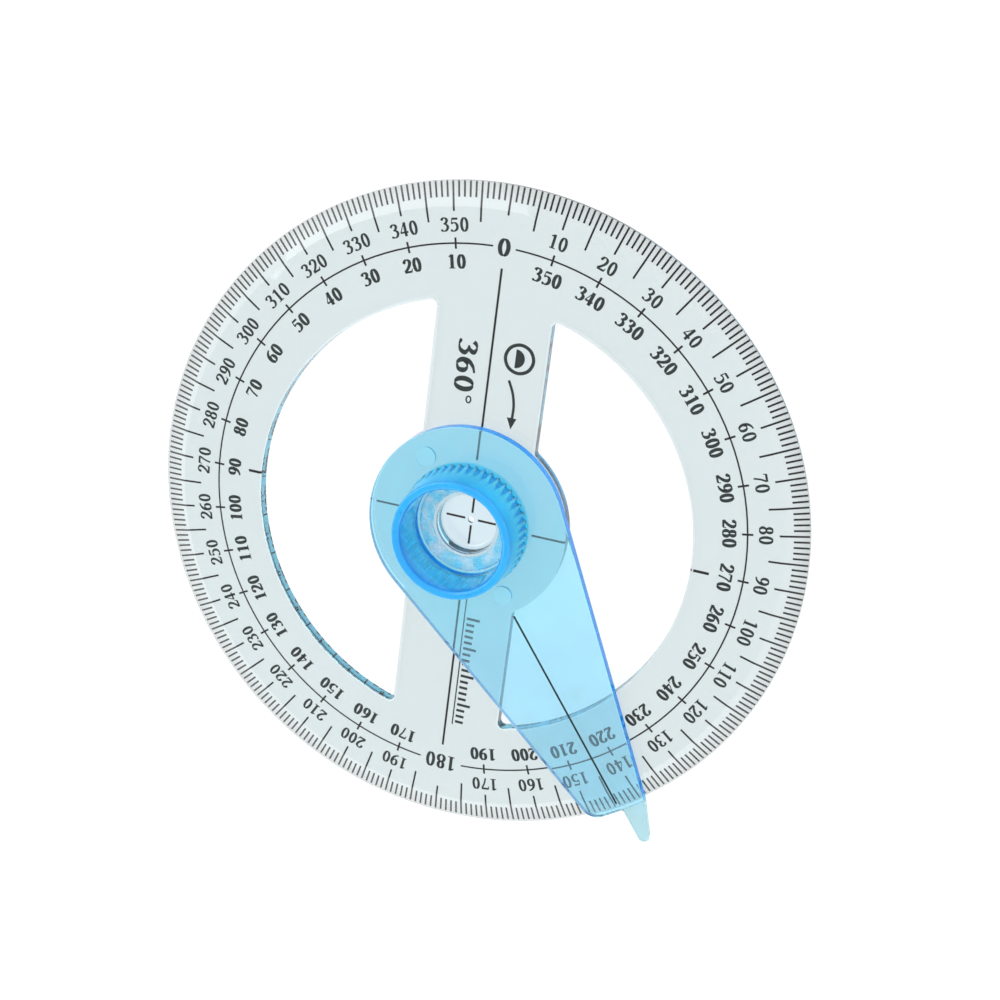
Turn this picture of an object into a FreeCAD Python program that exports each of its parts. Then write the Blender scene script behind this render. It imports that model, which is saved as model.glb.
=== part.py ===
import FreeCAD, Part
import math
import os

import Sketcher

# Full-circle protractor with a swing arm. Millimetres. The origin is the vertex, on the surface
# that the protractor lies on. +Y points to the 0 mark, +X to the 90 mark and +Z up.

SIZES = {
    # plate
    "disc_radius": 50.0,
    "plate_thick": 1.9,
    "rim_thick": 0.8,
    "bevel_width": 3.5,
    "window_radius": 33.6,
    "bar_half": 8.6,
    "pad_radius": 15.1,
    "window_corner": 0.8,
    "pad_corner": 0.6,
    "window_round": 0.35,
    # vertex hole, sight well and pivot boss
    "vertex_radius": 0.5,
    "vertex_floor": 0.5,
    "well_radius": 4.6,
    "well_round": 0.2,
    "well_fillet": 0.8,
    "boss_radius": 5.1,
    "boss_height": 2.95,
    # clearances
    "pivot_gap": 0.06,
    "face_gap": 0.1,
    "ring_gap": 0.05,
    # swing arm, drawn with its index line along +Y
    "rest_angle": 143.2,
    "arm_thick": 1.6,
    "arm_round": 0.15,
    "hub_radius": 15.1,
    "blade_reach": 49.8,
    "blade_right": 5.2,
    "blade_left": 4.15,
    "blade_corner": 2.5,
    "pointer_reach": 56.1,
    "pointer_edge": 0.1,
    "pointer_tip": 0.9,
    "pointer_root": 4.0,
    "pointer_thick": 0.8,
    "notch_corner": 0.8,
    # knob
    "knob_height": 7.0,
    "knob_foot": 9.65,
    "knob_rim": 8.96,
    "cup_radius": 7.7,
    "cup_floor": 0.5,
    "cup_fillet": 0.35,
    "cup_round": 0.5,
    "rim_round": 0.35,
    "flute_radius": 0.5,
    "flute_deep": 0.42,
    "flute_clear": 0.2,
    "flute_lift": 0.05,
    "flute_count": 48,
    # retaining ring
    "ring_radius": 7.25,
    "ring_thick": 0.4,
    "ring_chamfer": 0.15,
    # index line and raised round mould marks on the arm
    "index_start": 15.4,
    "index_end": 48.5,
    "index_width": 0.3,
    "index_deep": 0.12,
    "mark_radius": 1.5,
    "mark_place": 11.8,
    "mark_high": 0.3,
    # inked marks, pressed into the plate's underside: how far from the vertex they begin and end
    "ink_deep": 0.05,
    "tick_outer": 49.8,
    "tick_one": 47.5,
    "tick_ten": 45.7,
    "tick_five": 44.3,
    "tick_width": 0.28,
    "circle_radius": 41.2,
    "circle_width": 0.24,
    "circle_gap_top": 2.3,
    "circle_gap_foot": 4.7,
    "cross_half": 0.8,
    "cross_width": 0.3,
    "line_width": 0.32,
    "line_start": 9.7,
    "line_reach": 38.2,
    "side_reach": 14.8,
    "side_mark_start": 33.9,
    "side_mark_end": 36.2,
    "side_mark_width": 0.4,
    "sight_start": 1.0,
    "sight_end": 4.0,
}

doc = FreeCAD.newDocument("protractor")
sizes = doc.addObject("Spreadsheet::Sheet", "sizes")
for row, (alias, number) in enumerate(SIZES.items(), start=1):
    sizes.set(f"A{row}", alias)
    sizes.set(f"B{row}", str(number))
    sizes.setAlias(f"B{row}", alias)
doc.recompute()

# Heights as formulas of the sheet, counted from the surface that the protractor lies on
PLATE_BASE = "0"
PLATE_TOP = "sizes.plate_thick"
FLOOR_TOP = "sizes.vertex_floor"
BOSS_TOP = "sizes.boss_height"
ARM_BASE = "sizes.plate_thick + sizes.face_gap"
ARM_TOP = ARM_BASE + " + sizes.arm_thick"
KNOB_TOP = ARM_TOP + " + sizes.knob_height"
CUP_BASE = ARM_BASE + " + sizes.cup_floor"
RING_BASE = CUP_BASE + " + sizes.ring_gap"
RING_TOP = RING_BASE + " + sizes.ring_thick"
BORE_RADIUS = "sizes.boss_radius + sizes.pivot_gap"

UP = FreeCAD.Vector(0, 0, 1)
NEAR = 1e-3


def cell(alias):
    """A driving size, read from the sheet."""
    return float(sizes.get(alias))


def new_body(name):
    """An empty body with its own label."""
    body = doc.addObject("PartDesign::Body", name)
    body.Label = name
    return body


def datum(body, role):
    """The body's own origin plane or axis with this role."""
    return next(item for item in body.Origin.OriginFeatures if item.Role == role)


def sketch_on(body, name, role, height=None):
    """A sketch on one of the body's origin planes, raised to a height formula."""
    sketch = body.newObject("Sketcher::SketchObject", name)
    sketch.AttachmentSupport = [(datum(body, role), "")]
    sketch.MapMode = "FlatFace"
    if height is not None:
        sketch.setExpression("AttachmentOffset.Base.z", height)
    return sketch


def bind(sketch, kind, places, start, formula):
    """Adds a dimension to the sketch and ties it to a formula."""
    index = sketch.addConstraint(Sketcher.Constraint(kind, *places, start))
    sketch.setExpression(f"Constraints[{index}]", formula)


def polygon(sketch, corners):
    """A closed outline through corners given as (x formula, y formula)."""
    count = len(corners)
    turns = [2 * math.pi * index / count + 0.1 for index in range(count)]
    starts = [FreeCAD.Vector(math.cos(turn), math.sin(turn), 0) for turn in turns]
    for index in range(count):
        sketch.addGeometry(Part.LineSegment(starts[index], starts[(index + 1) % count]), False)
    for index in range(count):
        sketch.addConstraint(Sketcher.Constraint("Coincident", index, 2, (index + 1) % count, 1))
    for index, (across, along) in enumerate(corners):
        bind(sketch, "DistanceX", (-1, 1, index, 1), starts[index].x, across)
        bind(sketch, "DistanceY", (-1, 1, index, 1), starts[index].y, along)


def circle(sketch, radius_alias, centre=(0.0, 0.0), guide=False):
    """A circle whose radius is a cell of the sheet. Returns its number in the sketch."""
    shape = Part.Circle(FreeCAD.Vector(*centre, 0), UP, cell(radius_alias))
    index = sketch.addGeometry(shape, guide)
    bind(sketch, "Radius", (index,), cell(radius_alias), "sizes." + radius_alias)
    return index


def at_origin(sketch, index):
    """Centres a circle or an arc of the sketch on the origin."""
    sketch.addConstraint(Sketcher.Constraint("Coincident", index, 3, -1, 1))


def pad(body, name, sketch, length):
    """Adds the sketch's outline as material, upwards."""
    feature = body.newObject("PartDesign::Pad", name)
    feature.Profile = sketch
    feature.setExpression("Length", length)
    return feature


def pocket(body, name, sketch, depth=None):
    """Takes the sketch's outline away: downwards to a depth, or right through."""
    before = volume_of(body)
    feature = body.newObject("PartDesign::Pocket", name)
    feature.Profile = sketch
    if depth is None:
        feature.Type = "ThroughAll"
        feature.Midplane = True
    else:
        feature.setExpression("Length", depth)
    check_cut(body, name, before)
    return feature


def revolve(body, name, sketch):
    """Turns the sketch's outline all the way round Z."""
    feature = body.newObject("PartDesign::Revolution", name)
    feature.Profile = sketch
    feature.ReferenceAxis = (datum(body, "Z_Axis"), [""])
    feature.Angle = 360
    return feature


def polar(body, name, feature, count):
    """Repeats a feature evenly round Z. count is a number or a formula."""
    before = volume_of(body)
    pattern = body.newObject("PartDesign::PolarPattern", name)
    pattern.Originals = [feature]
    pattern.Axis = (datum(body, "Z_Axis"), [""])
    pattern.Angle = 360
    pattern.setExpression("Occurrences", count)
    body.Tip = pattern
    check_cut(body, name, before)
    return pattern


def dress(body, kind, name, formula, wanted):
    """A fillet or a chamfer on every edge of the tip that wanted accepts."""
    doc.recompute()
    tip = body.Tip
    edges = [f"Edge{n}" for n, edge in enumerate(tip.Shape.Edges, start=1) if wanted(edge)]
    if not edges:
        raise RuntimeError(f"{name} finds no edge")
    feature = body.newObject("PartDesign::" + kind, name)
    feature.Base = (tip, edges)
    feature.setExpression("Radius" if kind == "Fillet" else "Size", formula)
    return feature


def volume_of(body):
    """The body's volume now."""
    doc.recompute()
    return body.Shape.Volume


def check_cut(body, name, before):
    """Stops if a cutting feature has taken nothing away."""
    if volume_of(body) >= before - NEAR:
        raise RuntimeError(f"{name} cuts nothing")


def middle(edge):
    """The point halfway along an edge."""
    return edge.valueAt((edge.FirstParameter + edge.LastParameter) / 2)


def from_axis(point):
    """A point's distance from Z."""
    return math.hypot(point.x, point.y)


def is_upright(edge):
    """True for a straight edge along Z."""
    ends = edge.Vertexes
    return len(ends) == 2 and from_axis(ends[1].Point - ends[0].Point) < NEAR


def at_height(edge, height):
    """True for an edge that lies at this height."""
    return all(abs(vertex.Z - height) < NEAR for vertex in edge.Vertexes)


def height_of(*aliases):
    """The sum of some cells, in millimetres."""
    return sum(cell(alias) for alias in aliases)


def turn_arm(body):
    """Turns a body that is drawn with the index line along +Y to the arm's angle at rest."""
    body.Placement = FreeCAD.Placement(FreeCAD.Vector(), FreeCAD.Rotation(UP, -cell("rest_angle")))
    body.setExpression("Placement.Rotation.Angle", "-sizes.rest_angle")


# --- the plate -----------------------------------------------------------------------------------


def window_outline(sketch):
    """The D-shaped window beside the bar: ring arc, bar edge, pad arc, bar edge."""
    outer = cell("window_radius")
    inner = cell("pad_radius")
    side = cell("bar_half")
    far = math.acos(side / outer)
    near = math.acos(side / inner)
    rim = Part.Circle(FreeCAD.Vector(), UP, outer)
    neck = Part.Circle(FreeCAD.Vector(), UP, inner)
    heights = (outer * math.sin(far), inner * math.sin(near))
    tops = [FreeCAD.Vector(side, height, 0) for height in heights]
    feet = [FreeCAD.Vector(point.x, -point.y, 0) for point in tops]
    sketch.addGeometry(Part.ArcOfCircle(rim, -far, far), False)
    sketch.addGeometry(Part.LineSegment(tops[0], tops[1]), False)
    sketch.addGeometry(Part.ArcOfCircle(neck, -near, near), False)
    sketch.addGeometry(Part.LineSegment(feet[1], feet[0]), False)
    for first, second in (((0, 2), (1, 1)), ((1, 2), (2, 2)), ((2, 1), (3, 1)), ((3, 2), (0, 1))):
        sketch.addConstraint(Sketcher.Constraint("Coincident", *first, *second))
    for arc, alias in ((0, "window_radius"), (2, "pad_radius")):
        at_origin(sketch, arc)
        bind(sketch, "Radius", (arc,), cell(alias), "sizes." + alias)
    for line in (1, 3):
        sketch.addConstraint(Sketcher.Constraint("Vertical", line))
        bind(sketch, "DistanceX", (-1, 1, line, 1), side, "sizes.bar_half")


def make_blank():
    """The plate before it is marked: bevelled rim, windows, boss, sight well and vertex hole."""
    body = new_body("plate_blank")
    section = sketch_on(body, "disc_section", "XZ_Plane")
    polygon(
        section,
        (
            ("sizes.vertex_radius", PLATE_BASE),
            ("sizes.disc_radius", PLATE_BASE),
            ("sizes.disc_radius", "sizes.rim_thick"),
            ("sizes.disc_radius - sizes.bevel_width", PLATE_TOP),
            ("sizes.boss_radius", PLATE_TOP),
            ("sizes.boss_radius", BOSS_TOP),
            ("sizes.well_radius", BOSS_TOP),
            ("sizes.well_radius", FLOOR_TOP),
            ("sizes.vertex_radius", FLOOR_TOP),
        ),
    )
    revolve(body, "disc_turned", section)
    window = sketch_on(body, "window_outline", "XY_Plane")
    window_outline(window)
    opening = pocket(body, "window", window)
    polar(body, "windows", opening, "2")

    def is_outer_corner(edge):
        return is_upright(edge) and abs(from_axis(middle(edge)) - cell("window_radius")) < NEAR

    def is_pad_corner(edge):
        return is_upright(edge) and abs(from_axis(middle(edge)) - cell("pad_radius")) < NEAR

    def is_window_rim(edge):
        place = from_axis(middle(edge))
        return at_height(edge, top) and cell("boss_radius") + 1 < place < cell("window_radius") + 1

    def is_well_wall(edge):
        return abs(from_axis(middle(edge)) - cell("well_radius")) < NEAR

    def is_well_edge(edge):
        return at_height(edge, cell("boss_height")) and is_well_wall(edge)

    def is_well_foot(edge):
        return at_height(edge, cell("vertex_floor")) and is_well_wall(edge)

    top = cell("plate_thick")
    dress(body, "Fillet", "window_corners", "sizes.window_corner", is_outer_corner)
    dress(body, "Fillet", "pad_corners", "sizes.pad_corner", is_pad_corner)
    dress(body, "Fillet", "window_edges", "sizes.window_round", is_window_rim)
    dress(body, "Fillet", "well_edge", "sizes.well_round", is_well_edge)
    dress(body, "Fillet", "well_foot", "sizes.well_fillet", is_well_foot)
    return body


# --- the swing arm -------------------------------------------------------------------------------


def blade_outline(sketch):
    """The tapering blade: two sides that touch the hub's circle, and an end like the plate's rim."""
    reach = cell("blade_reach")
    hub = cell("hub_radius")
    touch = math.acos(hub / reach)
    right_end = math.acos(cell("blade_right") / reach)
    left_end = math.pi - math.acos(cell("blade_left") / reach)

    def on_circle(radius, turn):
        return FreeCAD.Vector(radius * math.cos(turn), radius * math.sin(turn), 0)

    corners = [
        on_circle(hub, right_end - touch),
        on_circle(reach, right_end),
        on_circle(reach, left_end),
        on_circle(hub, left_end + touch),
    ]
    rim = Part.Circle(FreeCAD.Vector(), UP, reach)
    sketch.addGeometry(Part.LineSegment(corners[0], corners[1]), False)
    sketch.addGeometry(Part.ArcOfCircle(rim, right_end, left_end), False)
    sketch.addGeometry(Part.LineSegment(corners[2], corners[3]), False)
    sketch.addGeometry(Part.LineSegment(corners[3], corners[0]), False)
    guide = circle(sketch, "hub_radius", guide=True)
    for first in range(4):
        sketch.addConstraint(Sketcher.Constraint("Coincident", first, 2, (first + 1) % 4, 1))
    at_origin(sketch, 1)
    at_origin(sketch, guide)
    sketch.addConstraint(Sketcher.Constraint("Tangent", 0, 1, guide))
    sketch.addConstraint(Sketcher.Constraint("Tangent", 2, 2, guide))
    bind(sketch, "Radius", (1,), reach, "sizes.blade_reach")
    bind(sketch, "DistanceX", (-1, 1, 1, 1), cell("blade_right"), "sizes.blade_right")
    bind(sketch, "DistanceX", (-1, 1, 1, 2), -cell("blade_left"), "-sizes.blade_left")


def pointer_outline(sketch):
    """The thin pointer past the rim: one side along the index line, a round tip, a slanted side."""
    reach = cell("blade_reach")
    edge = cell("pointer_edge")
    tip = cell("pointer_tip")
    centre = FreeCAD.Vector(-edge - tip, cell("pointer_reach") - tip, 0)
    root = FreeCAD.Vector(-edge, reach - cell("pointer_root"), 0)
    corner = FreeCAD.Vector(-cell("blade_left"), math.sqrt(reach**2 - cell("blade_left") ** 2), 0)
    slant = math.atan2(centre.x - corner.x, centre.y - corner.y)
    nose = Part.ArcOfCircle(Part.Circle(centre, UP, tip), 0, math.pi - slant)
    sketch.addGeometry(Part.LineSegment(root, nose.StartPoint), False)
    sketch.addGeometry(nose, False)
    sketch.addGeometry(Part.LineSegment(nose.EndPoint, corner), False)
    sketch.addGeometry(Part.LineSegment(corner, root), False)
    guide = circle(sketch, "blade_reach", guide=True)
    at_origin(sketch, guide)
    sketch.addConstraint(Sketcher.Constraint("Tangent", 0, 2, 1, 1))
    sketch.addConstraint(Sketcher.Constraint("Tangent", 1, 2, 2, 1))
    sketch.addConstraint(Sketcher.Constraint("Coincident", 2, 2, 3, 1))
    sketch.addConstraint(Sketcher.Constraint("Coincident", 3, 2, 0, 1))
    sketch.addConstraint(Sketcher.Constraint("Vertical", 0))
    sketch.addConstraint(Sketcher.Constraint("PointOnObject", 2, 2, guide))
    bind(sketch, "Radius", (1,), tip, "sizes.pointer_tip")
    bind(sketch, "DistanceX", (-1, 1, 0, 1), root.x, "-sizes.pointer_edge")
    bind(sketch, "DistanceY", (-1, 1, 0, 1), root.y, "sizes.blade_reach - sizes.pointer_root")
    bind(sketch, "DistanceY", (-1, 1, 1, 3), centre.y, "sizes.pointer_reach - sizes.pointer_tip")
    bind(sketch, "DistanceX", (-1, 1, 2, 2), corner.x, "-sizes.blade_left")


def index_outline(sketch):
    """The long thin rectangle of the index line."""
    half = "sizes.index_width / 2"
    polygon(
        sketch,
        (
            (half, "sizes.index_start"),
            (half, "sizes.index_end"),
            ("-" + half, "sizes.index_end"),
            ("-" + half, "sizes.index_start"),
        ),
    )


def make_flutes(body):
    """The knob's grooves: leaning cylinders that run out below the rim, under a smooth collar."""
    foot_place = "sizes.knob_foot + sizes.flute_radius - sizes.flute_deep"
    rim_place = "sizes.knob_rim + sizes.flute_radius + sizes.flute_clear"
    before = volume_of(body)
    flute = body.newObject("PartDesign::SubtractiveCylinder", "flute")
    flute.AttachmentSupport = [(datum(body, "XY_Plane"), "")]
    flute.MapMode = "FlatFace"
    leaning = FreeCAD.Rotation(FreeCAD.Vector(0, 1, 0), -1)
    flute.AttachmentOffset = FreeCAD.Placement(FreeCAD.Vector(), leaning)
    flute.setExpression("Radius", "sizes.flute_radius")
    flute.setExpression("Height", "sizes.knob_height + 1")
    flute.setExpression("AttachmentOffset.Base.x", foot_place)
    flute.setExpression("AttachmentOffset.Base.z", ARM_TOP + " + sizes.flute_lift")
    lean = f"-atan(({foot_place} - ({rim_place})) / sizes.knob_height)"
    flute.setExpression("AttachmentOffset.Rotation.Angle", lean)
    check_cut(body, "flute", before)
    polar(body, "flutes", flute, "sizes.flute_count")


def make_swing_arm():
    """The blue moulding: blade, hub, pointer and the hollow knurled knob."""
    body = new_body("swing_arm")
    blade = sketch_on(body, "blade_outline", "XY_Plane", ARM_BASE)
    blade_outline(blade)
    pad(body, "blade", blade, "sizes.arm_thick")
    room = sketch_on(body, "hub_room_outline", "XY_Plane", ARM_TOP)
    edge = room.addGeometry(Part.Circle(FreeCAD.Vector(), UP, cell("knob_foot") + 0.5), False)
    at_origin(room, edge)
    bind(room, "Radius", (edge,), cell("knob_foot") + 0.5, "sizes.knob_foot + 0.5")
    pocket(body, "hub_room", room)
    pointer = sketch_on(body, "pointer_outline", "XY_Plane", ARM_BASE)
    pointer_outline(pointer)
    pad(body, "pointer", pointer, "sizes.pointer_thick")
    section = sketch_on(body, "hub_section", "XZ_Plane")
    polygon(
        section,
        (
            (BORE_RADIUS, ARM_BASE),
            ("sizes.hub_radius", ARM_BASE),
            ("sizes.hub_radius", ARM_TOP),
            ("sizes.knob_foot", ARM_TOP),
            ("sizes.knob_rim", KNOB_TOP),
            ("sizes.cup_radius", KNOB_TOP),
            ("sizes.cup_radius", CUP_BASE),
            (BORE_RADIUS, CUP_BASE),
        ),
    )
    revolve(body, "hub_and_knob", section)

    floor = height_of("plate_thick", "face_gap", "cup_floor")
    top = height_of("plate_thick", "face_gap", "arm_thick")
    rim = top + cell("knob_height")

    def is_end_corner(edge):
        point = middle(edge)
        on_right = point.x > cell("blade_right") - 1
        return is_upright(edge) and on_right and point.y > cell("pointer_root")

    def is_notch(edge):
        point = middle(edge)
        beside = abs(point.x + cell("pointer_edge")) < NEAR
        return is_upright(edge) and beside and abs(from_axis(point) - cell("blade_reach")) < NEAR

    def is_top_edge(edge):
        return at_height(edge, top) and from_axis(middle(edge)) > cell("knob_foot") + 1

    def is_cup_wall(edge):
        return abs(from_axis(middle(edge)) - cell("cup_radius")) < NEAR

    def is_knob_rim(edge):
        return at_height(edge, rim) and not is_cup_wall(edge)

    def is_cup_rim(edge):
        return at_height(edge, rim) and is_cup_wall(edge)

    def is_cup_foot(edge):
        return at_height(edge, floor) and is_cup_wall(edge)

    dress(body, "Fillet", "end_corner", "sizes.blade_corner", is_end_corner)
    dress(body, "Fillet", "notch", "sizes.notch_corner", is_notch)
    dress(body, "Fillet", "top_edges", "sizes.arm_round", is_top_edge)
    dress(body, "Fillet", "knob_rim", "sizes.rim_round", is_knob_rim)
    dress(body, "Fillet", "cup_rim", "sizes.cup_round", is_cup_rim)
    dress(body, "Fillet", "cup_foot", "sizes.cup_fillet", is_cup_foot)

    slot = sketch_on(body, "index_slot_outline", "XY_Plane", ARM_TOP)
    index_outline(slot)
    pocket(body, "index_slot", slot, "sizes.index_deep")
    marks = sketch_on(body, "mark_outlines", "XY_Plane", ARM_TOP)
    for side in (1, -1):
        place = side * cell("mark_place")
        mark = circle(marks, "mark_radius", centre=(0.0, place))
        marks.addConstraint(Sketcher.Constraint("PointOnObject", mark, 3, -2))
        bind(marks, "DistanceY", (-1, 1, mark, 3), place, f"{side} * sizes.mark_place")
    pad(body, "mould_marks", marks, "sizes.mark_high")
    make_flutes(body)
    turn_arm(body)
    return body


def make_index_line():
    """The black line in the slot of the arm's upper face."""
    body = new_body("index_line")
    outline = sketch_on(body, "index_inlay_outline", "XY_Plane", ARM_TOP + " - sizes.index_deep")
    index_outline(outline)
    pad(body, "index_inlay", outline, "sizes.index_deep")
    turn_arm(body)
    return body


def make_retaining_ring():
    """The clear ring round the boss, on the cup's floor, that keeps the arm on the plate."""
    body = new_body("retaining_ring")
    section = sketch_on(body, "ring_section", "XZ_Plane")
    polygon(
        section,
        (
            ("sizes.boss_radius", RING_BASE),
            ("sizes.ring_radius", RING_BASE),
            ("sizes.ring_radius", RING_TOP),
            ("sizes.boss_radius", RING_TOP),
        ),
    )
    revolve(body, "ring_turned", section)
    top = height_of("plate_thick", "face_gap", "cup_floor", "ring_gap", "ring_thick")

    def is_outer_top(edge):
        return at_height(edge, top) and abs(from_axis(middle(edge)) - cell("ring_radius")) < NEAR

    dress(body, "Chamfer", "ring_edge", "sizes.ring_chamfer", is_outer_top)
    return body


# --- the marks -----------------------------------------------------------------------------------


def bar(start, end, width, degrees):
    """A stroke along a radius, from start to end, at an angle clockwise from the 0 mark."""
    corner = FreeCAD.Vector(-width / 2, start, 0)
    stroke = Part.makeBox(width, end - start, cell("ink_deep"), corner)
    stroke.rotate(FreeCAD.Vector(), UP, -degrees)
    return stroke


def arc_band(radius, width, first, last):
    """An arc-shaped stroke between two angles counted clockwise from the 0 mark."""
    thick = cell("ink_deep")
    outer = Part.makeCylinder(radius + width / 2, thick, FreeCAD.Vector(), UP, last - first)
    inner = Part.makeCylinder(radius - width / 2, thick, FreeCAD.Vector(), UP, 360)
    band = outer.cut(inner)
    band.rotate(FreeCAD.Vector(), UP, 90 - last)
    return band


def inked(name, solids):
    """Strokes of ink as one object. They lie flush in the plate's underside."""
    feature = doc.addObject("Part::Feature", name)
    feature.Label = name
    feature.Shape = Part.makeCompound(solids)
    return feature


def tick_start(degree):
    """How far from the vertex the mark for this degree begins."""
    if degree % 10 == 0:
        return cell("tick_ten")
    if degree % 5 == 0:
        return cell("tick_five")
    return cell("tick_one")


def make_degree_ticks():
    """One mark per degree along the rim."""
    reach = cell("tick_outer")
    width = cell("tick_width")
    strokes = [bar(tick_start(degree), reach, width, degree) for degree in range(360)]
    return inked("degree_ticks", strokes)


def make_scale_circle():
    """The circle between the two rows of numbers, with a cross mark every ten degrees."""
    radius = cell("circle_radius")
    half = cell("cross_half")
    width = cell("cross_width")
    first = cell("circle_gap_top")
    last = 180 - cell("circle_gap_foot")
    right = (first, last, range(10, 180, 10))
    left = (360 - last, 360 - first, range(190, 360, 10))
    halves = []
    for start, end, tens in (right, left):
        band = arc_band(radius, cell("circle_width"), start, end)
        crosses = [bar(radius - half, radius + half, width, degree) for degree in tens]
        halves.append(band.multiFuse(crosses).removeSplitter())
    return inked("scale_circle", halves)


def make_centre_lines():
    """The 0-180 and 90-270 lines, the short marks beside the windows, and the sight cross."""
    start = cell("line_start")
    width = cell("line_width")
    mark = (cell("side_mark_start"), cell("side_mark_end"), cell("side_mark_width"))
    strokes = [bar(start, cell("line_reach"), width, degrees) for degrees in (0, 180)]
    for degrees in (90, 270):
        strokes.append(bar(start, cell("side_reach"), width, degrees))
        strokes.append(bar(*mark, degrees))
    for degrees in (0, 90, 180, 270):
        strokes.append(bar(cell("sight_start"), cell("sight_end"), width, degrees))
    return inked("centre_lines", strokes)


def make_scale_disc(blank, marks):
    """The clear plate with a shallow recess for every mark."""
    recesses = doc.addObject("Part::Compound", "mark_recesses")
    recesses.Links = marks
    disc = doc.addObject("Part::Cut", "scale_disc")
    disc.Label = "scale_disc"
    disc.Base = blank
    disc.Tool = recesses
    return disc


MARKS = [make_degree_ticks(), make_scale_circle(), make_centre_lines()]
PARTS = [
    make_scale_disc(make_blank(), MARKS),
    make_swing_arm(),
    make_index_line(),
    make_retaining_ring(),
    *MARKS,
]

doc.recompute()
for item in doc.Objects:
    if "Invalid" in item.State or "Error" in item.State:
        raise RuntimeError(f"{item.Name} did not compute: {item.State}")
for item in PARTS:
    if item.Shape.isNull() or not item.Shape.isValid():
        raise RuntimeError(f"{item.Label} has no valid shape")

os.makedirs("parts", exist_ok=True)
for item in PARTS:
    item.Shape.exportStep(f"parts/{item.Label}.step")
    print(item.Label, len(item.Shape.Solids), round(item.Shape.Volume, 3), item.Shape.BoundBox)
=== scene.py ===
import math

import bpy
from mathutils import Matrix, Vector


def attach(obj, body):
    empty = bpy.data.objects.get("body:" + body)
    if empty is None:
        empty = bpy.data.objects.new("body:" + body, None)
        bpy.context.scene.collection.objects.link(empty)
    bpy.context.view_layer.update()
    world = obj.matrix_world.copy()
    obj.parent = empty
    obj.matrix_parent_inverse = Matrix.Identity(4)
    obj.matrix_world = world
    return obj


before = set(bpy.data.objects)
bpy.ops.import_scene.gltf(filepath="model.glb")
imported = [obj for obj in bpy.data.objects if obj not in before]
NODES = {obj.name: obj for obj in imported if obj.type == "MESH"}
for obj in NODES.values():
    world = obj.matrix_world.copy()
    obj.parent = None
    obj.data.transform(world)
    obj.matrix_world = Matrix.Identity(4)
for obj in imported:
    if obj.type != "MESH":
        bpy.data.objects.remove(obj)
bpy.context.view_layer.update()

MM = 0.001
PLATE = "plate"

# --- camera and studio ---------------------------------------------------------------------------

CAMERA_PLACE = (57.4, 84.0, 208.9)
CAMERA_AIM = (4.07, 4.13, 0.65)
CAMERA_LEAN = math.radians(7.28)  # the picture's up lies this far left of the 0 mark
CAMERA_LENS = 55.96
FLOOR_DROP = 0.1
FLOOR_HALF = 1500
FLOOR_GREY = 0.15
FLOOR_GLOW = 0.86
SKY_LOW = 1.6  # brightness of the room at eye level, halfway up and overhead
SKY_MIDDLE = 2.4
SKY_HIGH = 0.95
LAMP_PLACE = (-0.35, 0.15, 0.55)
LAMP_POWER = 1.2


def mm(*place):
    """A place in millimetres as a vector in metres."""
    return Vector(place) * MM


def make_camera():
    """The camera: high on the 0-90 side of the plate."""
    data = bpy.data.cameras.new("camera")
    data.sensor_width = 36.0
    data.lens = CAMERA_LENS
    data.clip_start = 0.005
    camera = bpy.data.objects.new("camera", data)
    bpy.context.scene.collection.objects.link(camera)
    forward = (mm(*CAMERA_AIM) - mm(*CAMERA_PLACE)).normalized()
    up_hint = Vector((-math.sin(CAMERA_LEAN), math.cos(CAMERA_LEAN), 0))
    right = forward.cross(up_hint).normalized()
    up = right.cross(forward)
    turn = Matrix((right, up, -forward)).transposed().to_4x4()
    camera.matrix_world = Matrix.Translation(mm(*CAMERA_PLACE)) @ turn
    bpy.context.scene.camera = camera


def new_material(name):
    """An empty node material and its tree, output and Principled shader."""
    material = bpy.data.materials.new(name)
    material.use_nodes = True
    tree = material.node_tree
    tree.nodes.clear()
    output = tree.nodes.new("ShaderNodeOutputMaterial")
    shader = tree.nodes.new("ShaderNodeBsdfPrincipled")
    tree.links.new(shader.outputs["BSDF"], output.inputs["Surface"])
    return material, tree, output, shader


def make_floor():
    """A plain white floor that also glows a little, like a light table."""
    material, tree, output, shader = new_material("floor_white")
    shader.inputs["Base Color"].default_value = (FLOOR_GREY, FLOOR_GREY, FLOOR_GREY, 1)
    shader.inputs["Roughness"].default_value = 0.9
    shader.inputs["Specular IOR Level"].default_value = 0.0
    shader.inputs["Emission Color"].default_value = (1, 1, 1, 1)
    shader.inputs["Emission Strength"].default_value = FLOOR_GLOW
    mesh = bpy.data.meshes.new("floor")
    around = [(-1, -1), (1, -1), (1, 1), (-1, 1)]
    corners = [mm(x * FLOOR_HALF, y * FLOOR_HALF, -FLOOR_DROP) for x, y in around]
    mesh.from_pydata(corners, [], [(0, 1, 2, 3)])
    mesh.materials.append(material)
    floor = bpy.data.objects.new("floor", mesh)
    bpy.context.scene.collection.objects.link(floor)


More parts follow.
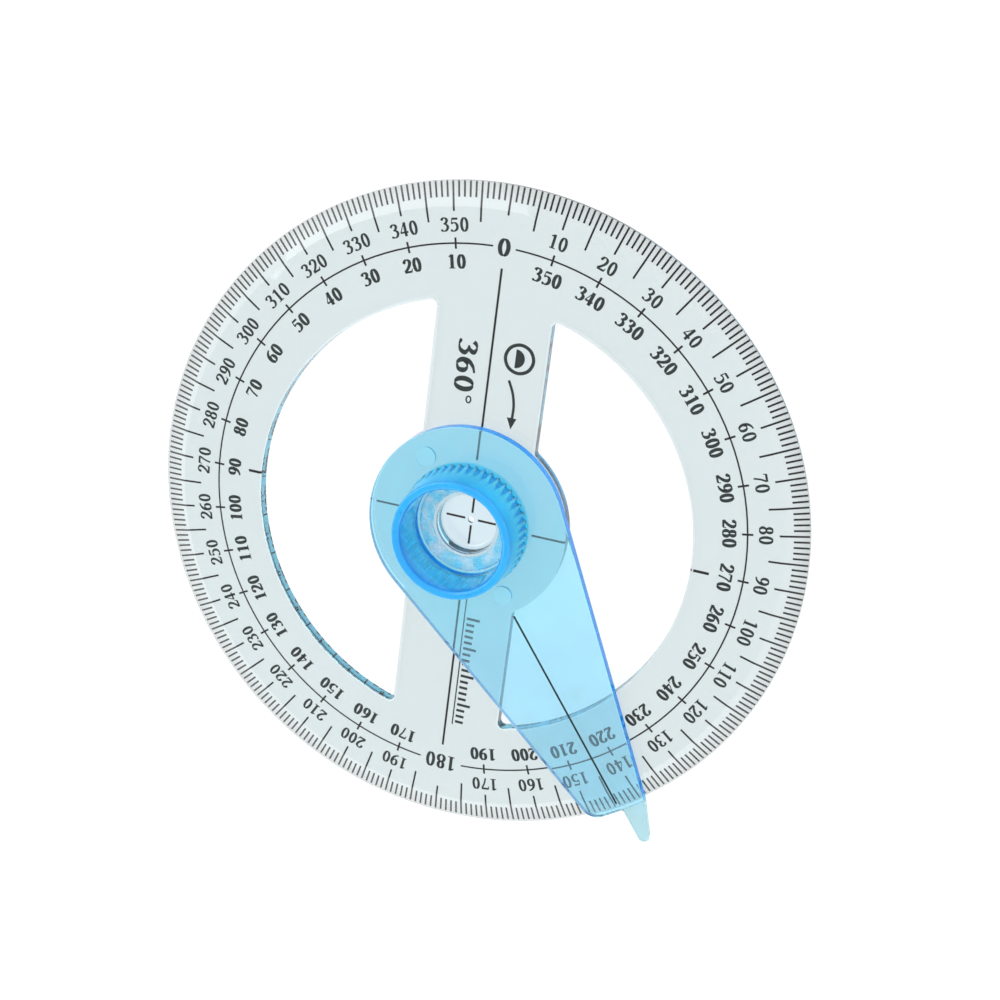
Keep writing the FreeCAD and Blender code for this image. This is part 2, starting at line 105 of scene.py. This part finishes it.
def make_light():
    """Even studio light: a white room, brightest halfway up, and one large soft lamp."""
    world = bpy.data.worlds.new("studio")
    world.use_nodes = True
    bpy.context.scene.world = world
    tree = world.node_tree
    tree.nodes.clear()
    output = tree.nodes.new("ShaderNodeOutputWorld")
    sky = tree.nodes.new("ShaderNodeBackground")
    sky.inputs["Color"].default_value = (1, 1, 1, 1)
    tree.links.new(sky.outputs[0], output.inputs["Surface"])
    place = tree.nodes.new("ShaderNodeTexCoord")
    split = tree.nodes.new("ShaderNodeSeparateXYZ")
    tree.links.new(place.outputs["Generated"], split.inputs[0])
    rise = stretched(tree, split.outputs["Z"], 0.0, 0.45, SKY_LOW, SKY_MIDDLE)
    fall = stretched(tree, split.outputs["Z"], 0.6, 0.85, 0.0, SKY_HIGH - SKY_MIDDLE)
    tree.links.new(joined(tree, "ADD", rise, fall), sky.inputs["Strength"])
    lamp = bpy.data.lights.new("softbox", "AREA")
    lamp.shape = "RECTANGLE"
    lamp.size = 0.5
    lamp.size_y = 0.35
    lamp.energy = LAMP_POWER
    box = bpy.data.objects.new("softbox", lamp)
    bpy.context.scene.collection.objects.link(box)
    box.location = LAMP_PLACE
    box.rotation_mode = "QUATERNION"
    box.rotation_quaternion = box.location.to_track_quat("Z", "Y")
    scene = bpy.context.scene
    scene.view_settings.view_transform = "Standard"
    scene.cycles.max_bounces = 32
    scene.cycles.glossy_bounces = 32
    scene.cycles.transmission_bounces = 32
    scene.cycles.transparent_max_bounces = 16


# --- materials -----------------------------------------------------------------------------------

ARM_TOP = 0.0036
KNOB_TOP = 0.0106
KNOB_FOOT = 0.00965  # radius over the flutes' crests at the knob's foot
KNOB_RIM = 0.00896  # and at its rim

# Where a material changes: from one distance from the hub's axis to another
CUP_WALL = (0.0078, 0.008)
BOSS_EDGE = (0.0051, 0.0053)
BLADE_ROOT = (0.016, 0.024)
BLADE_END = (0.049, 0.0502)
POINTER_ROOT = (0.0495, 0.0505)
PAD_INSIDE = (0.008, 0.009)
BEVEL_INSIDE = (0.045, 0.046)
# The rim's last millimetres: greyed as painted shade under the bevel, and made duller.
SHADED_DULL_RIM = (0.0472, 0.0499)

# and from one height over the underside to another
BOSS_TOP = (0.0027, 0.0029)
OVER_ARM = (ARM_TOP, 0.0038)
CUP_FOOT = (0.0043, 0.0046)
KNOB_LOW = (ARM_TOP, 0.005)
KNOB_ALL = (ARM_TOP, KNOB_TOP)
FLUTE_ENDS = (0.0096, 0.0101)

# and from one depth below the flutes' crests to another
IN_GROOVE = (0.00003, 0.0002)
PAST_GROOVE = (0.0006, 0.0008)


def object_place(tree):
    """The point's place in the object's own space, in metres."""
    return tree.nodes.new("ShaderNodeTexCoord").outputs["Object"]


def noise(tree, scale, detail=2.0, roughness=0.5):
    """Noise in the object's own space, where scale is in bumps per metre."""
    node = tree.nodes.new("ShaderNodeTexNoise")
    node.inputs["Scale"].default_value = scale
    node.inputs["Detail"].default_value = detail
    node.inputs["Roughness"].default_value = roughness
    tree.links.new(object_place(tree), node.inputs["Vector"])
    return node.outputs["Fac"]


def stretched(tree, source, first, last, low, high):
    """A value that runs from low to high while the source runs from first to last."""
    node = tree.nodes.new("ShaderNodeMapRange")
    node.inputs["From Min"].default_value = first
    node.inputs["From Max"].default_value = last
    node.inputs["To Min"].default_value = low
    node.inputs["To Max"].default_value = high
    tree.links.new(source, node.inputs["Value"])
    return node.outputs["Result"]


def ranged(tree, source, low, high):
    """Noise stretched to run from low to high."""
    return stretched(tree, source, 0.3, 0.7, low, high)


def radius(tree):
    """The point's distance from the hub's axis, in metres."""
    flat = tree.nodes.new("ShaderNodeVectorMath")
    flat.operation = "MULTIPLY"
    flat.inputs[1].default_value = (1, 1, 0)
    tree.links.new(object_place(tree), flat.inputs[0])
    length = tree.nodes.new("ShaderNodeVectorMath")
    length.operation = "LENGTH"
    tree.links.new(flat.outputs[0], length.inputs[0])
    return length.outputs["Value"]


def height(tree):
    """The point's height over the underside, in metres."""
    split = tree.nodes.new("ShaderNodeSeparateXYZ")
    tree.links.new(object_place(tree), split.inputs[0])
    return split.outputs["Z"]


def upright(tree):
    """0 on level faces and 1 on upright ones."""
    split = tree.nodes.new("ShaderNodeSeparateXYZ")
    tree.links.new(tree.nodes.new("ShaderNodeNewGeometry").outputs["Normal"], split.inputs[0])
    slope = tree.nodes.new("ShaderNodeMath")
    slope.operation = "ABSOLUTE"
    tree.links.new(split.outputs["Z"], slope.inputs[0])
    return stretched(tree, slope.outputs[0], 0.6, 0.1, 0.0, 1.0)


def joined(tree, operation, first, *others):
    """Values added together or multiplied, or the first less the others."""
    for other in others:
        node = tree.nodes.new("ShaderNodeMath")
        node.operation = operation
        tree.links.new(first, node.inputs[0])
        tree.links.new(other, node.inputs[1])
        first = node.outputs[0]
    return first


def tinted(tree, shader, source, stops):
    """Colours the shader by a value from 0 to 1, with a colour at each stop."""
    ramp = tree.nodes.new("ShaderNodeValToRGB")
    row = ramp.color_ramp.elements
    while len(row) < len(stops):
        row.new(0.5)
    for element, (place, colour) in zip(row, stops):
        element.position = place
        element.color = (*colour, 1)
    tree.links.new(source, ramp.inputs["Fac"])
    tree.links.new(ramp.outputs["Color"], shader.inputs["Base Color"])


def bump(tree, shader, source, distance, strength=1.0):
    """Raises the surface by a value, distance metres high at most."""
    node = tree.nodes.new("ShaderNodeBump")
    node.inputs["Strength"].default_value = strength
    node.inputs["Distance"].default_value = distance
    tree.links.new(source, node.inputs["Height"])
    tree.links.new(node.outputs["Normal"], shader.inputs["Normal"])


def absorb(tree, output, per_mm):
    """Takes colour off light by its way through the plastic. per_mm is for red, green and blue."""
    most = max(per_mm) * 1.05
    node = tree.nodes.new("ShaderNodeVolumeAbsorption")
    node.inputs["Color"].default_value = (*[1 - one / most for one in per_mm], 1)
    node.inputs["Density"].default_value = most / MM
    tree.links.new(node.outputs["Volume"], output.inputs["Volume"])


def make_clear_plastic():
    """Clear plastic: fine scratches and a melted boss top, with painted light: a greyer, duller rim
    that is painted shade, teal painted shade on upright window faces, and a painted blue cast
    inside the boss.
    """
    material, tree, output, shader = new_material("clear_plastic")
    shader.inputs["Transmission Weight"].default_value = 1.0
    shader.inputs["IOR"].default_value = 1.5
    away = radius(tree)
    # The rim is greyed towards its edge, with noise: painted shade under the bevel. The same mask
    # also makes the rim duller.
    rim_shade_and_dull = stretched(tree, away, *SHADED_DULL_RIM, 0.0, 1.0)
    rim_shade_and_dull = joined(tree, "MULTIPLY", rim_shade_and_dull, ranged(tree, noise(tree, 260, 3.0), 0.75, 1.0))
    # Upright faces of the windows are tinted teal: painted shade for light carried through the
    # plate.
    painted_wall_shade = joined(
        tree,
        "MULTIPLY",
        upright(tree),
        stretched(tree, away, *PAD_INSIDE, 0.0, 1.0),
        stretched(tree, away, *BEVEL_INSIDE, 0.9, 0.0),
    )
    # Inside the boss the plate is tinted blue: painted light cast by the blue knob.
    clear_of_blue_cast = stretched(tree, away, *BOSS_EDGE, 0.0, 0.1)
    # Stops: 0 is the blue cast painted inside the boss, 0.1 the plate's own tint, 0.5 the painted
    # rim shade, and 1.0 the teal painted shade of upright window faces.
    tinted(
        tree,
        shader,
        joined(tree, "ADD", clear_of_blue_cast, stretched(tree, rim_shade_and_dull, 0.0, 1.0, 0.0, 0.4), painted_wall_shade),
        [
            (0.0, (0.8, 0.92, 0.98)),
            (0.1, (0.895, 0.9, 0.897)),
            (0.5, (0.7, 0.715, 0.71)),
            (1.0, (0.2, 0.47, 0.62)),
        ],
    )
    near = stretched(tree, away, *BOSS_EDGE, 1.0, 0.0)
    raised = stretched(tree, height(tree), *BOSS_TOP, 0.0, 1.0)
    melted = joined(tree, "MULTIPLY", near, raised, noise(tree, 800, 3.0))
    scratches = ranged(tree, noise(tree, 900, 4.0), 0.0, 0.05)
    dull = stretched(tree, rim_shade_and_dull, 0.0, 1.0, 0.0, 0.18)
    pressed = stretched(tree, melted, 0.0, 1.0, 0.0, 0.6)
    tree.links.new(joined(tree, "ADD", scratches, dull, pressed), shader.inputs["Roughness"])
    lumps = stretched(tree, melted, 0.0, 1.0, 0.0, 12.0)
    bump(tree, shader, joined(tree, "ADD", noise(tree, 120), lumps), 0.00002)
    absorb(tree, output, (0.09, 0.045, 0.035))
    return material


def make_blue_plastic():
    """Blue plastic of one colour, painted by region for light and shade: pale in the flat arm,
    bluer at the hub as painted light, greyer at the tip as painted shade, and richer blue as
    painted shade in its upright faces, the flutes' hollows, the cup's inner wall and up the knob.
    """
    material, tree, output, shader = new_material("blue_plastic")
    shader.inputs["IOR"].default_value = 1.5
    shader.inputs["Specular IOR Level"].default_value = 0.15
    up = height(tree)
    away = radius(tree)
    # Upright faces of the arm below its top are painted a richer, less clear blue: painted shade.
    painted_side_shade = joined(
        tree,
        "MULTIPLY",
        upright(tree),
        stretched(tree, up, *OVER_ARM, 1.0, 0.0),
        stretched(tree, away, *BLADE_END, 1.0, 0.0),
    )
    # Less light passes through the knob and the upright faces, so more of their painted colour
    # shows.
    clear = joined(
        tree,
        "MULTIPLY",
        stretched(tree, up, *KNOB_LOW, 0.93, 0.7),
        stretched(tree, painted_side_shade, 0.0, 1.0, 1.0, 0.5),
    )
    tree.links.new(clear, shader.inputs["Transmission Weight"])
    # The knob is tinted a richer azure with height: painted shade for light through the thick knob.
    painted_knob_tone = stretched(tree, up, *KNOB_ALL, 0.0, 0.8)
    streaks = ranged(tree, noise(tree, 240, 3.0), -0.015, 0.015)
    crest = stretched(tree, up, *KNOB_ALL, KNOB_FOOT, KNOB_RIM)
    below_crest = joined(tree, "SUBTRACT", crest, away)
    # The flutes' hollows are painted a richer blue: painted shade in the creases.
    painted_groove_shade = joined(
        tree,
        "MULTIPLY",
        stretched(tree, below_crest, *IN_GROOVE, 0.0, 0.62),
        stretched(tree, below_crest, *PAST_GROOVE, 1.0, 0.0),
        stretched(tree, up, *FLUTE_ENDS, 1.0, 0.0),
    )
    # The cup's inner wall above its foot is painted a richer blue: painted shade inside the cup.
    cup = joined(
        tree,
        "MULTIPLY",
        stretched(tree, away, *CUP_WALL, 0.12, 0.0),
        stretched(tree, up, *CUP_FOOT, 0.0, 1.0),
    )
    # The hub is tinted bluer than the rest of the arm: painted light scattered in the hub.
    blade = stretched(tree, away, *BLADE_ROOT, 0.09, 0.045)
    # The pointer's tip past the plate is tinted greyer: painted shade.
    tip = stretched(tree, away, *POINTER_ROOT, 0.0, -0.045)
    # Stops: 0 is the greyer tip, 0.045 the arm's length, 0.09 the painted light at the hub, and the
    # higher stops the painted shades of the knob, the cup, the flutes' hollows and upright faces.
    tinted(
        tree,
        shader,
        joined(tree, "ADD", painted_knob_tone, painted_side_shade, painted_groove_shade, cup, streaks, blade, tip),
        [
            (0.0, (0.49, 0.7, 0.75)),
            (0.045, (0.53, 0.815, 0.965)),
            (0.09, (0.54, 0.87, 1.0)),
            (0.3, (0.18, 0.9, 1.0)),
            (0.75, (0.04, 0.64, 1.0)),
            (1.0, (0.0, 0.27, 0.82)),
        ],
    )
    tree.links.new(ranged(tree, noise(tree, 700, 4.0), 0.01, 0.07), shader.inputs["Roughness"])
    bump(tree, shader, noise(tree, 150), 0.00002)
    absorb(tree, output, (0.14, 0.02, 0.0005))
    return material


def make_frosted_plastic():
    """The retaining ring's clear plastic, pressed and melted on, rough and bumpy; its blue and
    white mottle is painted light: blue light from the cup below and painted caustics.
    """
    material, tree, output, shader = new_material("frosted_plastic")
    shader.inputs["Transmission Weight"].default_value = 0.5
    shader.inputs["IOR"].default_value = 1.5
    # Painted light: a blue cast from the cup below, with white painted caustics.
    painted_caustic_blots = ranged(tree, noise(tree, 420, 3.0), 0.0, 1.0)
    tinted(
        tree,
        shader,
        painted_caustic_blots,
        [(0.2, (0.3, 0.82, 1.0)), (0.55, (0.6, 0.92, 1.0)), (0.85, (1.0, 0.98, 1.0))],
    )
    tree.links.new(ranged(tree, noise(tree, 700, 3.0), 0.05, 0.4), shader.inputs["Roughness"])
    bump(tree, shader, noise(tree, 800, 3.0), 0.0003)
    absorb(tree, output, (0.03, 0.015, 0.01))
    return material


def make_ink():
    """Black ink with a slightly uneven film."""
    material, tree, output, shader = new_material("black_ink")
    patches = noise(tree, 1500, 3.0)
    shader.inputs["Specular IOR Level"].default_value = 0.2
    tinted(tree, shader, patches, [(0.0, (0.002, 0.008, 0.007)), (1.0, (0.012, 0.03, 0.028))])
    tree.links.new(ranged(tree, patches, 0.45, 0.7), shader.inputs["Roughness"])
    bump(tree, shader, patches, 0.00001)
    return material


def finish_nodes(material, *names):
    """Gives CAD nodes a material."""
    for name in names:
        NODES[name].data.materials.clear()
        NODES[name].data.materials.append(material)


# --- printed marks -------------------------------------------------------------------------------

PRINT_BASE = 0.002  # the print lies just inside the plate's underside
PRINT_TOP = 0.03
DIGIT_STEP = 0.72  # from one digit to the next, in digit heights
FINE_PEN = 0.07  # width of a stroke that runs sideways, in digit heights
BALL = 0.085
ROW_HEIGHT = 2.0
OUTER_ROW = 43.8  # radius at the middle of the digits
INNER_ROW = 38.6
MAIN_ROW = 41.2
RULE_SIDE = 1.1
LINE_STEPS = 5


def oval(x, y, wide, high):
    """Points round an oval, back to where they start."""
    turns = [math.tau * step / 8 for step in range(8)] + [0.0]
    return [(x + wide * math.cos(turn), y + high * math.sin(turn)) for turn in turns]


# A digit stands in a cell one unit high. Each stroke is the points that a smooth line goes through,
# and its width, where None is a broad pen: thick when it runs up or down and thin when sideways.
TAIL = (0.12, 0.09)
DIGITS = {
    "0": [(oval(0.35, 0.5, 0.21, 0.465), None)],
    "1": [
        ([(0.37, 0.0), (0.37, 1.0)], None),
        ([(0.14, 0.84), (0.36, 0.95)], 0.1),
        ([(0.15, 0.035), (0.59, 0.035)], FINE_PEN),
    ],
    "2": [
        ([(0.10, 0.72), (0.20, 0.90), (0.34, 0.965), (0.50, 0.88), (0.545, 0.72), (0.46, 0.50),
          (0.28, 0.28), (0.08, 0.10)], None),
        ([(0.06, 0.075), (0.60, 0.075)], 0.15),
        ([(0.60, 0.05), (0.645, 0.27)], FINE_PEN),
    ],
    "3": [
        ([(0.09, 0.78), (0.18, 0.91), (0.32, 0.965), (0.47, 0.88), (0.49, 0.75), (0.40, 0.60),
          (0.26, 0.54)], None),
        ([(0.26, 0.54), (0.42, 0.51), (0.54, 0.40), (0.545, 0.25), (0.44, 0.09), (0.26, 0.035),
          TAIL], None),
    ],
    "4": [
        ([(0.43, 0.0), (0.43, 1.0)], None),
        ([(0.40, 0.97), (0.05, 0.30)], FINE_PEN),
        ([(0.03, 0.29), (0.64, 0.29)], 0.13),
    ],
    "5": [
        ([(0.17, 0.91), (0.58, 0.91)], 0.15),
        ([(0.17, 0.95), (0.11, 0.56)], FINE_PEN),
        ([(0.11, 0.56), (0.28, 0.63), (0.45, 0.58), (0.545, 0.42), (0.53, 0.22), (0.40, 0.08),
          (0.22, 0.035), TAIL], None),
    ],
    "6": [
        ([(0.58, 0.97), (0.36, 0.88), (0.18, 0.68), (0.12, 0.42), (0.15, 0.20), (0.26, 0.05),
          (0.36, 0.035), (0.50, 0.12), (0.545, 0.30), (0.50, 0.48), (0.38, 0.57), (0.24, 0.53),
          (0.16, 0.42)], None),
    ],
    "7": [
        ([(0.06, 0.91), (0.62, 0.91)], 0.16),
        ([(0.07, 0.95), (0.04, 0.70)], FINE_PEN),
        ([(0.60, 0.88), (0.40, 0.48), (0.28, 0.0)], 0.13),
    ],
    "8": [(oval(0.34, 0.74, 0.17, 0.225), None), (oval(0.34, 0.27, 0.21, 0.235), None)],
    "°": [(oval(0.22, 0.84, 0.13, 0.12), 0.08)],
}
DIGITS["9"] = [([(0.70 - x, 1.0 - y) for x, y in points], width) for points, width in DIGITS["6"]]
BALLS = {"3": TAIL, "5": TAIL, "2": (0.13, 0.76)}  # where a stroke ends in a round blob


def smooth(points):
    """A smooth line through points, closed when it ends where it starts."""
    if len(points) == 2:
        return [Vector(point) for point in points]
    closed = points[0] == points[-1]
    before = points[-2] if closed else points[0]
    after = points[1] if closed else points[-1]
    knots = [before, *points, after]
    line = []
    for index in range(len(points) - 1):
        a, b, c, d = [Vector(knot) for knot in knots[index:index + 4]]
        for step in range(LINE_STEPS):
            t = step / LINE_STEPS
            bend = (2 * a - 5 * b + 4 * c - d) * t**2 + (3 * b - a - 3 * c + d) * t**3
            line.append(0.5 * (2 * b + (c - a) * t + bend))
    return line if closed else line + [Vector(points[-1])]


class Print:
    """Flat printed strokes on the plate, each a thin closed solid."""

    def __init__(self, name):
        self.name = name
        self.corners = []
        self.faces = []

    def layer(self, outline):
        """Adds corners at the bottom and the top of the print, and gives their numbers."""
        first = len(self.corners)
        for level in (PRINT_BASE, PRINT_TOP):
            self.corners += [mm(x, y, level) for x, y in outline]
        count = len(outline)
        return range(first, first + count), range(first + count, first + 2 * count)

    def patch(self, outline):
        """One filled shape with its corners anticlockwise."""
        low, high = self.layer(outline)
        self.faces += [[*reversed(low)], [*high]]
        for one in range(len(low)):
            two = (one + 1) % len(low)
            self.faces.append([low[one], low[two], high[two], high[one]])

    def stroke(self, line, pen, closed):
        """A line drawn with a pen, which gives the width for a direction."""
        left = []
        right = []
        for index, place in enumerate(line):
            ahead = line[(index + 1) % len(line)] if closed or index + 1 < len(line) else place
            behind = line[index - 1] if closed or index else place
            way = (ahead - behind).normalized()
            side = Vector((-way.y, way.x)) * pen(way) / 2
            left.append(place + side)
            right.append(place - side)
        left_low, left_high = self.layer(left)
        right_low, right_high = self.layer(right)
        count = len(line)
        for one in range(count if closed else count - 1):
            two = (one + 1) % count
            self.faces += [
                [left_high[one], right_high[one], right_high[two], left_high[two]],
                [left_low[two], right_low[two], right_low[one], left_low[one]],
                [left_low[one], left_high[one], left_high[two], left_low[two]],
                [right_low[two], right_high[two], right_high[one], right_low[one]],
            ]
        if not closed:
            self.faces += [
                [left_low[0], right_low[0], right_high[0], left_high[0]],
                [left_high[-1], right_high[-1], right_low[-1], left_low[-1]],
            ]

    def line(self, points, width):
        """A smooth line of one width."""
        self.stroke(smooth(points), lambda way: width, points[0] == points[-1])

    def text(self, words, middle, along, high, stretch=1.0, broad=0.2):
        """Straight text that runs along a direction, centred on a place."""
        middle = Vector(middle)
        along = Vector(along)
        up = Vector((-along.y, along.x))

        def on_plate(index, x, y):
            across = (index - len(words) / 2) * DIGIT_STEP + x
            return middle + along * across * high * stretch + up * (y - 0.5) * high

        for index, mark in enumerate(words):
            for points, width in DIGITS[mark]:

                def pen(way, width=width):
                    if width is None:
                        width = FINE_PEN + (broad - FINE_PEN) * abs(way.dot(up))
                    return width * high

                closed = points[0] == points[-1]
                places = [on_plate(index, *point).to_tuple() for point in points]
                if closed:
                    places[-1] = places[0]
                self.stroke(smooth(places), pen, closed)
            if mark in BALLS:
                blob = oval(*BALLS[mark], BALL, BALL)[:-1]
                self.patch([on_plate(index, *point) for point in blob])

    def piece(self):
        """The finished print, riding on the plate."""
        mesh = bpy.data.meshes.new(self.name)
        mesh.from_pydata(self.corners, [], self.faces)
        mesh.materials.append(INK)
        shown = bpy.data.objects.new(self.name, mesh)
        bpy.context.scene.collection.objects.link(shown)
        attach(shown, PLATE)


def label(sheet, words, angle, away, high, **style):
    """Text at a clockwise angle from the 0 mark, with its tops away from the centre."""
    turn = math.radians(angle)
    middle = (away * math.sin(turn), away * math.cos(turn))
    sheet.text(words, middle, (math.cos(turn), -math.sin(turn)), high, **style)


def make_numbers():
    """The two rows of degree numbers, which run opposite ways, and the large 0 and 180."""
    outer = Print("outer_numbers")
    inner = Print("inner_numbers")
    for degrees in range(10, 360, 10):
        if degrees != 180:
            label(outer, str(degrees), degrees, OUTER_ROW, ROW_HEIGHT)
            label(inner, str(degrees), -degrees, INNER_ROW, ROW_HEIGHT, broad=0.25)
    main = Print("main_numbers")
    label(main, "0", 0, MAIN_ROW, 2.45, stretch=1.2, broad=0.26)
    label(main, "180", 180, MAIN_ROW, 2.5, stretch=0.95, broad=0.2)
    for sheet in (outer, inner, main):
        sheet.piece()


def make_plain_marks():
    """Marks along the bar: a full turn in degrees, a half disc, an arrow and a plain rule."""
    sheet = Print("bar_marks")
    sheet.text("360°", (-3.55, 21.9), (0, -1), 2.9, stretch=1.3, broad=0.26)
    sheet.line(oval(4.25, 25.75, 2.1, 2.1), 0.5)
    turns = [math.radians(turn) for turn in range(-90, 91, 15)]
    sheet.patch([(3.65 + 1.4 * math.cos(turn), 25.75 + 1.4 * math.sin(turn)) for turn in turns])
    sheet.line([(3.1, 22.4), (3.9, 20.6), (4.3, 18.6), (4.25, 16.4)], 0.4)
    sheet.patch([(4.25, 15.2), (4.95, 16.9), (3.5, 16.9)])
    sheet.piece()
    rule = Print("bar_rule")
    rule.line([(RULE_SIDE, -10.2), (RULE_SIDE, -34.2)], 0.2)
    for step in range(19):
        reach = 2.1 if step % 5 == 0 else 1.3
        y = -15.6 - step
        rule.line([(RULE_SIDE + 0.4, y), (RULE_SIDE + 0.4 + reach, y)], 0.42)
    rule.piece()


make_camera()
make_floor()
make_light()
CLEAR = make_clear_plastic()
BLUE = make_blue_plastic()
FROSTED = make_frosted_plastic()
INK = make_ink()
finish_nodes(CLEAR, "scale_disc")
finish_nodes(FROSTED, "retaining_ring")
finish_nodes(BLUE, "swing_arm")
finish_nodes(INK, "index_line", "degree_ticks", "scale_circle", "centre_lines")
make_numbers()
make_plain_marks()
